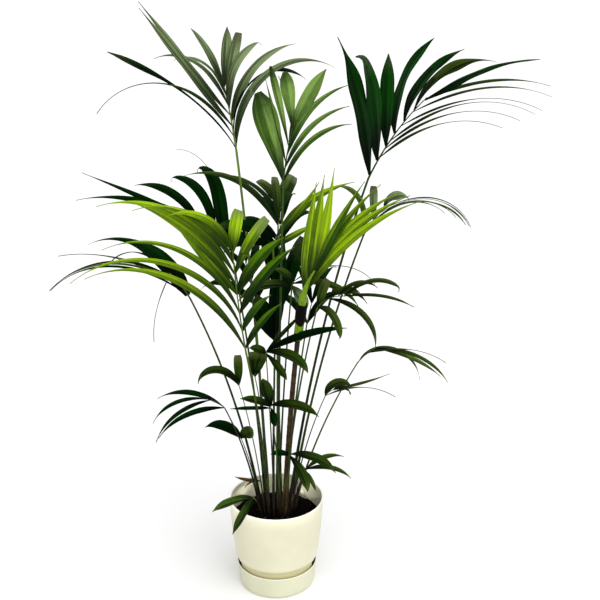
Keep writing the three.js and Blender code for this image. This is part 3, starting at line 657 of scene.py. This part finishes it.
def sheath_finish(name, dark, light):
    """Dried fibrous leaf sheath."""
    husk = Finish(name, {"Specular IOR Level": 0.06})
    fibre = husk.noise(520, 3, 0.6, stretch=(1, 1, 0.05))
    patch = husk.noise(70, stretch=(1, 1, 0.5))
    shade = (fibre - 0.5) * 1.3 + (patch - 0.5) * 0.8 + husk.mark("tone")
    body = husk.mix(husk.step(shade, 0, 1), dark, light)
    relief = fibre + husk.maths("SINE", husk.mark("across") * 40) * 0.3
    return husk.coat(body, 0.72 + (fibre - 0.5) * 0.3, relief, 0.0008, 0.8)


def soil_finish(name, dark, light):
    """Crumbly earth or wood, dull, with coarse lumps and grit."""
    soil = Finish(name, {"Specular IOR Level": 0.04})
    coarse = soil.noise(90, 4, 0.6)
    grit = soil.noise(620, 4, 0.7)
    shade = coarse * 0.6 + grit * 0.5 + soil.mark("tone") - 0.5
    body = soil.mix(soil.step(shade, 0.25, 1.1), dark, light)
    return soil.coat(body, 0.86 + (grit - 0.5) * 0.25, grit + coarse, 0.0016, 0.9)


def plastic_finish(name, low, high):
    """Satin moulded plastic: fine grain, handling marks, painted highlight atop the rim, painted
    recess shade.
    """
    cream = Finish(name, {"Specular IOR Level": 0.42, "Coat Roughness": 0.35})
    cloud = cream.noise(9, 3)
    grain = cream.noise(1500)
    speck = cream.noise(240, stretch=(1, 1, 0.6))
    scuff = cream.step(cream.noise(60, 4, 0.7, stretch=(1, 1, 6)), 0.62, 0.8)
    body = cream.mix(cream.step(cloud, 0.3, 0.7), low, high)
    body = cream.mix(cream.step(speck, 0.68, 0.8) * 0.25, body, (206, 198, 160))
    body = cream.mix(scuff * 0.12, body, (212, 205, 176))
    # Painted highlight: a pale band along the top of the pot's and the saucer's rims, standing in
    # for the light that falls on them.
    body = cream.mix(cream.mark("wear_and_highlight"), body, (252, 251, 238))
    # Painted shade: the shade mark darkens the pot below its shoulder, where the recess over the
    # saucer lies in shade.
    body = cream.mix(cream.mark("shade"), body, (192, 186, 134))
    sheen = 0.4 + (grain - 0.5) * 0.12 + scuff * 0.12
    return cream.coat(body, sheen, grain + speck * 0.4, 0.00012, 0.5)


# Pot and saucer.

def rounded(corners, steps=6):
    """An outline with its inner corners eased: each is (radius, height, length of the easing)."""
    outline = []
    for i, (radius, height, ease) in enumerate(corners):
        here = Vector((radius, height))
        if not ease:
            outline.append(here)
            continue
        before = Vector(corners[i - 1][:2]) - here
        after = Vector(corners[i + 1][:2]) - here
        start = here + before.normalized() * min(ease, before.length * 0.49)
        end = here + after.normalized() * min(ease, after.length * 0.49)
        bend = Arc(start, here, end)
        outline += [bend.point(t / steps) for t in range(steps + 1)]
    return outline


def turned(corners, recess=(0, 0)):
    """A body turned about the upright axis. Its outline starts and ends on the axis."""
    outline = rounded(corners)
    shape = Shape()
    top = max(height for _, height in outline)
    for radius, height in outline[1:-1]:
        # Painted highlight along the top of the rim.
        rim_highlight = 0.9 if height > top - 0.0016 else 0
        # Painted shade below the pot's shoulder, in the recess over the saucer.
        dull = 0.85 * (1 - smooth(height, *recess)) if height < recess[1] else 0
        turns = circle(TURN_STEPS)
        shape.ring(
            [Vector((radius * math.cos(a), radius * math.sin(a), height)) for a in turns],
            [(height / RIM_HEIGHT, a / math.pi - 1, 0.5, rim_highlight, dull) for a in turns],
        )
    shape.skin()
    return shape


def slot_cutter(sign, finishes):
    """A block with softened edges that cuts one water slot into the pot's foot, and gives the
    slot's walls a near-black finish as painted shade.
    """
    shape = Shape()
    half = SLOT_WIDTH / 2
    outline = []
    corners = ((half, SLOT_HIGH), (-half, SLOT_HIGH), (-half, SLOT_LOW), (half, SLOT_LOW))
    for i, (y, z) in enumerate(corners):
        for step in range(5):
            angle = math.radians(90 * (i + step / 4))
            outline.append((
                y - math.copysign(SLOT_EASE, y) + SLOT_EASE * math.cos(angle),
                z + (SLOT_EASE if z == SLOT_LOW else -SLOT_EASE) + SLOT_EASE * math.sin(angle),
            ))
    for x in (SLOT_BACK, SLOT_BACK + SLOT_DEEP):
        points = [Vector((sign * x, y, z)) for y, z in outline]
        shape.ring(points, [(0,)] * len(points))
    shape.skin(kind=1)
    return put("cutter", shape.mesh("cutter", finishes))


def cut(piece, cutters):
    """The piece with the cutters taken out of it. The new walls get the cutters' own finish."""
    for cutter in cutters:
        change = piece.modifiers.new("cut", "BOOLEAN")
        change.object = cutter
        change.operation = "DIFFERENCE"
        change.solver = "EXACT"
    bpy.context.view_layer.update()
    done = piece.evaluated_get(bpy.context.evaluated_depsgraph_get())
    mesh = bpy.data.meshes.new_from_object(done)
    piece.modifiers.clear()
    piece.data = mesh
    for cutter in cutters:
        bpy.data.objects.remove(cutter)


def make_saucer(cream):
    inside = SAUCER_FOOT - WALL - 0.001
    turned([
        (0, 0, 0), (FLOOR_RADIUS, 0, 0), (SAUCER_FOOT - 0.005, 0, 0.007),
        (SAUCER_FOOT + 0.0004, 0.012, 0.008),
        (SAUCER_RADIUS - 0.0001, SAUCER_HEIGHT - 0.0018, 0),
        (SAUCER_RADIUS, SAUCER_HEIGHT, 0.0007),
        (SAUCER_RADIUS - 0.0020, SAUCER_HEIGHT, 0.0007), (inside + 0.0016, 0.014, 0.006),
        (inside, WALL, 0.006), (FLOOR_RADIUS, WALL, 0), (0, WALL, 0),
    ]).piece("saucer_dish", "cream", [cream], ["saucer"], crease=40)


def make_pot(cream, shadow):
    within = FOOT_RADIUS - 0.0095
    pot = turned([
        (0, POT_FLOOR, 0), (FLOOR_RADIUS, POT_FLOOR, 0), (FOOT_RADIUS - 0.003, POT_FLOOR, 0.005),
        (FOOT_RADIUS + 0.0036, FOOT_TOP + 0.0015, 0.002),
        (SHOULDER_RADIUS - 0.0045, FOOT_TOP + 0.0045, 0.002),
        (SHOULDER_RADIUS - 0.0006, FOOT_TOP + 0.0082, 0.003),
        (SHOULDER_RADIUS + 0.0003, SHOULDER_HEIGHT + 0.002, 0.005),
        (SHOULDER_RADIUS + 0.0009, SHOULDER_HEIGHT + 0.007, 0.002),
        (RIM_RADIUS - 0.0024, BELLY_HEIGHT, 0.04),
        (RIM_RADIUS - 0.0008, RIM_HEIGHT - 0.006, 0.004), (RIM_RADIUS, RIM_HEIGHT - 0.004, 0.001),
        (RIM_RADIUS, RIM_HEIGHT, 0.0012), (RIM_RADIUS - 0.0036, RIM_HEIGHT, 0.0014),
        (RIM_RADIUS - 0.0042, RIM_HEIGHT - 0.003, 0.001),
        (RIM_RADIUS - 0.0054, BELLY_HEIGHT, 0.03),
        (SHOULDER_RADIUS - 0.0024, SLOT_HIGH + 0.011, 0.006),
        (within, SLOT_HIGH + 0.003, 0.005), (within, POT_FLOOR + WALL, 0.004),
        (FLOOR_RADIUS, POT_FLOOR + WALL, 0), (0, POT_FLOOR + WALL, 0),
    ], recess=(SHOULDER_HEIGHT - 0.006, SHOULDER_HEIGHT + 0.005))
    pot = pot.piece("pot_shell", "cream", [cream, shadow], ["pot"], crease=40)
    cut(pot, [slot_cutter(sign, [cream, shadow]) for sign in (1, -1)])
    pot.data.set_sharp_from_angle(angle=math.radians(40))


# Soil.

def soil_height(x, y):
    fall = smooth(math.hypot(x, y), SOIL_FLAT, SOIL_RADIUS)
    at = Vector((x, y, 0))
    lumps = 0.0032 * noise.noise(at * 34) + 0.0022 * noise.noise(at * 85)
    return SOIL_LEVEL + (SOIL_EDGE - SOIL_LEVEL) * fall + lumps + 0.0012 * noise.noise(at * 210)


def make_soil(finish):
    shape = Shape()

    def add_ring(radius, height):
        spots = [(radius * math.cos(a), radius * math.sin(a)) for a in circle(SOIL_TURNS)]
        points = [Vector((x, y, height or soil_height(x, y))) for x, y in spots]
        shape.ring(points, [(0, 0, 0.5)] * SOIL_TURNS)

    for i in range(SOIL_RINGS):
        add_ring(SOIL_HOLE + (SOIL_RADIUS - SOIL_HOLE) * i / (SOIL_RINGS - 1), None)
    for radius, height in ((0.1157, 0.180), (0.1148, 0.174)):
        add_ring(radius, height)
    shape.skin()
    shape.piece("soil_surface", "soil", [finish], ["soil"], crease=70)


# The corners and faces of a twenty-sided body.
GOLDEN = (1 + 5 ** 0.5) / 2
LUMP_CORNERS = [
    Vector(turn(short, long)).normalized()
    for turn in (lambda a, b: (a, b, 0), lambda a, b: (0, a, b), lambda a, b: (b, 0, a))
    for long in (GOLDEN, -GOLDEN) for short in (-1, 1)
]
LUMP_FACES = [
    three for three in combinations(range(len(LUMP_CORNERS)), 3)
    if all((LUMP_CORNERS[a] - LUMP_CORNERS[b]).length < 1.2 for a, b in combinations(three, 2))
]


def add_lump(shape, centre, sizes, tone):
    """An uneven crumb: a twenty-sided body with every corner pushed in or out."""
    turn = Euler((rng.uniform(-0.5, 0.5), rng.uniform(-0.5, 0.5), rng.uniform(0, 6.28)))
    points = []
    for corner in LUMP_CORNERS:
        reach = rng.uniform(0.62, 1.15)
        point = Vector(corner[k] * sizes[k] * reach for k in range(3))
        point.rotate(turn)
        points.append(centre + point)
    first = shape.ring(points, [(0, 0, tone)] * len(points))
    shape.faces += [tuple(first + k for k in face) for face in LUMP_FACES]
    shape.kinds += [0] * len(LUMP_FACES)


def on_soil(reach):
    radius = reach * math.sqrt(rng.random())
    angle = rng.uniform(0, 2 * math.pi)
    x, y = radius * math.cos(angle), radius * math.sin(angle)
    return Vector((x, y, soil_height(x, y)))


def make_crumbs(peat, wood):
    crumbs = Shape()
    for _ in range(CRUMBS):
        size = 0.0011 + 0.0036 * rng.random() ** 3
        spot = on_soil(SOIL_RADIUS - 0.002 - size)
        spot.z += size * rng.uniform(-0.1, 0.5)
        sizes = (size, size * rng.uniform(0.7, 1), size * 0.75)
        add_lump(crumbs, spot, sizes, rng.uniform(0.2, 0.8))
    crumbs.piece("soil_crumbs", "soil", [peat], crease=30)
    chips = Shape()
    for _ in range(CHIPS):
        size = rng.uniform(0.002, 0.0055)
        spot = on_soil(SOIL_RADIUS - 0.003 - size)
        spot.z += 0.0012
        add_lump(chips, spot, (size, size * 0.35, size * 0.22), rng.uniform(0.1, 0.9))
    chips.piece("wood_chips", "soil", [wood], crease=30)


# Stalks.

def cross_ways(way, inner):
    """The front and the side of a section across a stem, the front on the grooved side."""
    side = way.cross(inner).normalized()
    return side.cross(way), side


def add_section(shape, centre, way, radius, inner, groove, flat, mark):
    front, side = cross_ways(way, inner)
    points = []
    marks = []
    for turn in circle(STEM_SIDES):
        off = min(turn, 2 * math.pi - turn)
        reach = radius * (1 - groove * math.exp(-((off / 0.5) ** 2)))
        points.append(
            centre + front * (reach * math.cos(turn) * flat) + side * (reach * math.sin(turn))
        )
        marks.append((mark[0], off / math.pi, mark[1], mark[2]))
    shape.ring(points, marks)


def add_stem(shape, frond, start=0.0, widths=None):
    """A grooved stalk, swollen where it leaves the soil, that runs on as the blade's midrib."""
    inner = frond.inner
    stem = frond.stem * STEM_GIRTH
    tone = rng.uniform(0.15, 0.6)
    if start == 0:
        buried = frond.stalk.start - UP * SOIL_BURIED
        add_section(shape, buried, UP, stem * 1.8, inner, 0, 1, (0, tone, 1))
    for i in range(STEM_STEPS + 1):
        share = i / STEM_STEPS
        t = start + (1 - start) * share
        centre = frond.stalk.point(t)
        above = centre.z - SOIL_LEVEL
        swell = FOOT_SWELL * math.exp(-above / FOOT_REACH)
        radius = stem * (1 + (STEM_TAPER - 1) * t) * (1 + swell)
        if widths:
            radius = widths[0] + (widths[1] - widths[0]) * smooth(share, 0, 1)
        uneven = 1 + 0.05 * noise.noise(centre * 60)
        old = 1 - smooth(above, 0.03, 0.14)
        groove = STEM_GROOVE * smooth(above, 0.02, 0.2)
        add_section(
            shape, centre, frond.stalk.way(t), radius * uneven, inner, groove, STEM_FLAT,
            (t, tone, old),
        )
    thin, taper = (widths[1], RIB_TAPER / 2) if widths else (stem * STEM_TAPER, RIB_TAPER)
    for i in range(1, RIB_STEPS + 1):
        t = i / RIB_STEPS
        radius = thin * (1 + (taper - 1) * smooth(t, -0.5, 1))
        add_section(
            shape, frond.rib.point(t), frond.rib.way(t), radius, inner, RIB_GROOVE, RIB_FLAT,
            (1, tone, 0),
        )
    shape.skin()


def make_cane(frond, bark):
    """The woody cane: old leaf scars ring it, and its bark is ridged lengthways."""
    shape = Shape()
    for i in range(-2, CANE_STEPS + 1):
        share = max(0, i) / CANE_STEPS
        t = CANE_SHARE * share
        front, side = cross_ways(frond.stalk.way(t), frond.inner)
        centre = frond.stalk.point(t) + UP * (min(0, i) * 0.5 * SOIL_BURIED)
        up = centre.z - SOIL_LEVEL
        phase = (up / SCAR_EVERY + 0.15 * noise.noise(Vector((0, 0, up * 30)))) % 1.0
        scar = math.exp(-((min(phase, 1 - phase) / 0.07) ** 2))
        radius = frond.stem * (1 - 0.15 * share) * (1 + 0.9 * math.exp(-max(up, 0) / 0.022))
        points = []
        for turn in circle(CANE_SIDES):
            x, y = math.cos(turn), math.sin(turn)
            ridge = noise.noise(Vector((x * 3.2, y * 3.2, up * 22)))
            fine = noise.noise(Vector((x * 9, y * 9, up * 70)))
            reach = radius * (1 + 0.07 * ridge + 0.05 * fine + 0.09 * scar)
            points.append(centre + (front * x + side * y) * reach)
        shape.ring(points, [(share, j / CANE_SIDES, scar) for j in range(CANE_SIDES)])
    shape.skin()
    shape.piece("cane_bark", "cane", [bark], ["cane"], crease=60)


def make_collar(frond, husk):
    """The dry dark sheath at the cane's top, which the youngest leaf grows out of."""
    shape = Shape()
    thin = frond.stem * 0.95
    for i in range(COLLAR_STEPS + 1):
        share = i / COLLAR_STEPS
        t = COLLAR_FROM + (COLLAR_TO - COLLAR_FROM) * share
        way = frond.stalk.way(t)
        front, side = cross_ways(way, frond.inner)
        radius = thin + (COLLAR_RADIUS - thin) * smooth(share, 0.3, 0.62)
        points = []
        for turn in circle(COLLAR_SIDES):
            x, y = math.cos(turn), math.sin(turn)
            reach = radius * (1 + 0.08 * noise.noise(Vector((x * 4, y * 4, share * 2))))
            ragged = 0.006 * noise.noise(Vector((x * 5, y * 5, 7))) * share
            points.append(frond.stalk.point(t) + (front * x + side * y) * reach + way * ragged)
        marks = [(share, j / COLLAR_SIDES * 2, 0.35) for j in range(COLLAR_SIDES)]
        shape.ring(points, marks)
    shape.skin()
    shape.piece("bright_mid_collar", "stalk", [husk], ["bright_mid_sheath"], crease=50)


def make_husks(husk):
    """Dry sheath ends that stand round the stalks' feet."""
    shape = Shape()
    across = [-1 + 2 * k / (HUSK_ACROSS - 1) for k in range(HUSK_ACROSS)]
    for frond in FRONDS.values():
        if frond.stem < HUSK_STEM or rng.random() < HUSK_SHARE:
            continue
        stalk = frond.stalk
        length = rng.uniform(0.03, 0.09)
        width = rng.uniform(0.004, 0.007)
        turn = rng.uniform(0, 2 * math.pi)
        out = Vector((math.cos(turn), math.sin(turn), 0))
        side = UP.cross(out)
        tone = rng.uniform(-0.2, 0.7)
        for i in range(HUSK_STEPS + 1):
            s = i / HUSK_STEPS
            t = s * length / (stalk.end.z - stalk.start.z) / 1.1
            off = frond.stem * (1 + 0.9 * math.exp(-s * length / FOOT_REACH)) + 0.0004
            centre = stalk.point(t) + out * (off + 0.010 * s ** 3)
            centre.z += 0 if i else -0.004
            half = width / 2 * (1 - s ** 2.4) + 0.0003
            front = [centre + side * (half * u) - out * (0.5 * half * u * u) for u in across]
            back = [p - out * HUSK_THICK for p in reversed(front[1:-1])]
            spans = across + across[-2:0:-1]
            shape.ring(front + back, [(s, u, tone) for u in spans])
        shape.skin()
    shape.piece("dry_husks", "stalk", [husk], crease=60)


# Leaflets.

def leaflet_line(root, row, turn, sweep, hook):
    """The leaflet's middle line. It leaves its root at its heading and rise and bends down."""
    length, heading, rise, bend, _, late = row
    compass = math.radians(heading + turn)
    line = [root.copy()]
    for i in range(LEAF_STEPS):
        s = (i + 0.5) / LEAF_STEPS
        lift = math.radians(rise - bend * s ** late - hook * smooth(s, 0.88, 1))
        flat = math.cos(lift)
        way = Vector((flat * math.cos(compass), flat * math.sin(compass), math.sin(lift)))
        line.append(line[i] + way * (length / LEAF_STEPS))
    return [
        point + (point - SWEEP_FROM).normalized() * (sweep * length * i / LEAF_STEPS)
        for i, point in enumerate(line)
    ]


def width_at(s, end):
    """Share of the full width at a share of the length, eased from one listed width to the next."""
    root = (0, 20 if end == "v" else 12)
    widths = [(at / 100, share / 100) for at, share in (root, *ENDS[end])]

    def listed(at):
        at = max(0.0, min(1.0, at))
        for (low, narrow), (high, wide) in zip(widths, widths[1:]):
            if at <= high:
                return narrow + (wide - narrow) * (at - low) / (high - low)
    return sum(listed(s + step) for step in (-0.05, -0.02, 0, 0.02, 0.05)) / 5


def add_leaflet(shape, name, frond, t, row, end, sweep, lighter, kind):
    length, bend, share = row[0], row[3], row[4]
    level = 0.6 * min(1, abs(bend) / 80)
    tone = 0.5 + lighter + rng.uniform(-0.14, 0.14)
    wear_and_highlight = rng.uniform(0.75, 1.0) if end == "b" else rng.uniform(0.25, 0.7)
    wear_and_highlight = WORN.get(name, wear_and_highlight)
    roll = math.radians(rng.uniform(-ROLL, ROLL))
    phase = rng.uniform(0, 6.28)
    hook = HOOK if end == "k" else 0
    line = leaflet_line(frond.rib.point(t), row, TURNS.get(name, 0), sweep, hook)
    last = LEAF_STEPS
    ways = [(line[min(i + 1, last)] - line[max(i - 1, 0)]).normalized() for i in range(last + 1)]
    outward = ways[0].cross(frond.rib.way(t))
    if outward.dot(FACE_WAY) < 0:
        outward.negate()
    face = (outward + FACE_WAY * (2.0 if end in FACED else 0.4)).normalized()
    under_side = ACROSS[-2:0:-1]
    for i, (point, way) in enumerate(zip(line, ways)):
        s = i / last
        over = (UP - way * way.z).normalized()
        side = way.cross(face * (1 - level * s) + over * (level * s)).normalized()
        top = side.cross(way)
        side, top = (
            side * math.cos(roll * s) + top * math.sin(roll * s),
            top * math.cos(roll * s) - side * math.sin(roll * s),
        )
        half = max(THREAD, frond.wide * share * width_at(s, end) / 2)
        fold = 0.10 + 0.42 * (1 - s) ** 3
        rib = MIDRIB_HIGH * (1 - s) * min(1, half / 0.004) + 0.0001
        wave = 0.09 * math.sin(phase + s * length * 42) * smooth(s, 0.1, 0.5)
        lit = 1 if side.dot(LIT_SIDE) > 0 else -1

        def raised(u):
            dome = -fold * abs(u) ** 1.4 + 0.025 * math.cos(9.42 * u) + wave * u * abs(u)
            return half * dome + rib * math.exp(-((u / 0.08) ** 2))

        def sunk(u):
            return min(LEAF_THICK, half) + 1.6 * rib * math.exp(-((u / 0.1) ** 2))

        upper = [point + side * (half * u) + top * raised(u) for u in ACROSS]
        lower = [point + side * (half * u) + top * (raised(u) - sunk(u)) for u in under_side]
        marks = [(s, u * lit, tone, wear_and_highlight, frond.shade) for u in ACROSS + under_side]
        shape.ring(upper + lower, marks)
    shape.skin(kind)


def add_blade(shape, name, frond):
    """The frond's leaflets. Returns the greens that they have."""
    looks = []
    for k, side in enumerate("LR"):
        tones = TONES.get(name, ((), ()))[k]
        for i, (t, row, end) in enumerate(frond.leaflets(k)):
            leaflet = f"{name} {side}{i}"
            look = OTHER_LOOK.get(leaflet, frond.look)
            if look not in looks:
                looks.append(look)
            kind, lighter = looks.index(look), tones[i] if i < len(tones) else 0
            add_leaflet(shape, leaflet, frond, t, row, end, frond.sweep[k], lighter, kind)
    return looks


def make_frond(name, frond, leaves, stem):
    """A small frond is one node of the frame. A large one has a node for its blade and stalk."""
    blade_node, stalk_node = (
        [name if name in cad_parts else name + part] for part in ("_blade", "_stalk")
    )
    blade = Shape()
    looks = add_blade(blade, name, frond)
    slot = "bright_leaf" if name in BRIGHT else "leaf"
    blade.piece(f"{name}_leaflets", slot, [leaves[look] for look in looks], blade_node)
    stalk = Shape()
    if name == CANE_SHOOT:
        add_stem(stalk, frond, start=CANE_SHARE, widths=SHOOT_RADII)
        stalk_node = ()
    else:
        add_stem(stalk, frond)
    stalk.piece(f"{name}_stem", "stalk", [stem], stalk_node)


# The plant.

cream = plastic_finish("cream plastic", (214, 211, 183), (221, 218, 191))
make_saucer(plastic_finish("saucer plastic", (206, 207, 178), (213, 213, 186)))
# The slot walls' near-black finish is painted shade for the dark inside of the water slots.
make_pot(cream, soil_finish("slot shade", (6, 5, 3), (26, 22, 14)))
make_soil(soil_finish("potting soil", (1, 0, 0), (12, 7, 4)))
make_crumbs(
    soil_finish("peat crumbs", (1, 1, 0), (20, 13, 7)),
    soil_finish("wood chips", (48, 30, 18), (150, 112, 78)),
)
leaves = {look: leaf_finish(*skin) for look, skin in LEAF_SKINS.items()}
stalks = {look: stem_finish(*skin) for look, skin in STALK_SKINS.items()}
for name, frond in FRONDS.items():
    make_frond(name, frond, leaves, stalks[STALK_LOOKS.get(name, frond.look)])
    if name == CANE_SHOOT:
        make_cane(frond, bark_finish())
        make_collar(frond, sheath_finish("dark sheath", (1, 1, 1), (16, 13, 8)))
make_husks(sheath_finish("dry husk", (14, 9, 4), (140, 116, 66)))


# Studio.

def make_floor(half=2500):
    """A plain pale floor, with a very fine unevenness in its paint."""
    mesh = bpy.data.meshes.new("floor")
    corners = [(x, y, 0) for x in (-half, half) for y in (-half, half)]
    mesh.from_pydata(corners, [], [(0, 2, 3, 1)])
    paint = Finish("pale floor", {"Specular IOR Level": 0.1})
    cloud = paint.noise(3)
    pale = paint.add("Mix", {"data_type": "RGBA"}, {
        0: cloud, 6: (0.93, 0.93, 0.93, 1), 7: (0.96, 0.96, 0.96, 1),
    }, 2)
    mesh.materials.append(paint.coat(pale, 0.9 + (cloud - 0.5) * 0.05))
    put("floor", mesh)


def add_light(name, kind, strength, at, aim, **settings):
    """A sun shines from at towards aim, however near they are."""
    data = bpy.data.lights.new(name, kind)
    data.energy = strength
    for setting, value in settings.items():
        setattr(data, setting, value)
    light = put(name, data)
    light.location = at
    light.rotation_euler = (Vector(at) - Vector(aim)).to_track_quat("Z", "Y").to_euler()
    return light


make_floor()
world = bpy.data.worlds.new("studio")
world.use_nodes = True
background = world.node_tree.nodes["Background"]
background.inputs["Color"].default_value = (1, 1, 1, 1)
background.inputs["Strength"].default_value = 0.55
bpy.context.scene.world = world
bpy.context.scene.view_settings.view_transform = "Standard"
add_light("overhead", "SUN", 2.3, (0.25, -0.6, 1), (0, 0, 0), angle=math.radians(90))
add_light("key", "AREA", 12, (1.5, -2.5, 3.0), (0, 0, 0.7), shape="DISK", size=1.6)
# A narrow softbox whose light stays together, so that it lights only the soil and the pot.
pot_light = add_light(
    "pot light", "AREA", 0.1, (-0.06, -0.95, 0.53), (-0.03, 0.116, 0.232),
    shape="RECTANGLE", size=0.24, size_y=0.05, spread=math.radians(8),
)
pot_light.visible_camera = False

camera = put("camera", bpy.data.cameras.new("camera"))
camera.data.lens = CAMERA_LENS
camera.data.sensor_width = SENSOR
camera.location = CAMERA_AT
camera.rotation_euler = (math.radians(90 - CAMERA_DOWN), 0, 0)
bpy.context.scene.camera = camera
